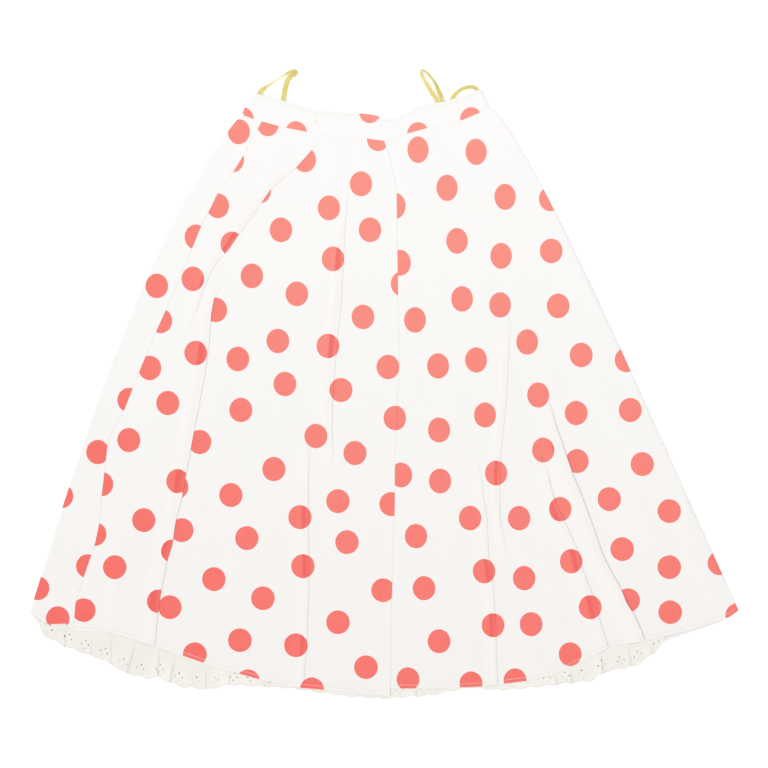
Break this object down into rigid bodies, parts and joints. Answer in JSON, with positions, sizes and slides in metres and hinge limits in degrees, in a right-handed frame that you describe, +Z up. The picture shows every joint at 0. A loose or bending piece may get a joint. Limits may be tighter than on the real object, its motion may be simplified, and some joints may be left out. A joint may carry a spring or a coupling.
{
  "type": "flared skirt",
  "caption": "Flared midi skirt in white dotted cotton, laid flat, with a shaped waistband, eyelet underskirt trim and yellow ribbon hanger loops.",
  "frame": {"origin": "under the middle of the skirt as it lies, on the surface that it lies on", "axes": "+X across the hem to the right as the front is seen from above, +Y from the hem to the waist, +Z up from the surface"},
  "size_m": [1.028, 0.9133, 0.0073],
  "materials": {
    "dotted_cotton": "matt plain-weave white cotton printed with coral red dots",
    "eyelet_cotton": "matt off-white cotton with embroidered eyelets and a scalloped edge",
    "yellow_ribbon": "soft satin ribbon"
  },
  "bodies": {
    "root": {"back_panel": "dotted_cotton", "front_left_panel": "dotted_cotton", "front_right_panel": "dotted_cotton", "waistband_side_left": "dotted_cotton", "waistband_centre_left": "dotted_cotton", "waistband_centre_right": "dotted_cotton", "waistband_side_right": "dotted_cotton", "waistband_back": "dotted_cotton", "eyelet_trim": "eyelet_cotton", "hanger_loop_left": "yellow_ribbon", "hanger_loop_right": "yellow_ribbon", "hanger_loop_right_outer": "yellow_ribbon"}
  },
  "joints": []
}
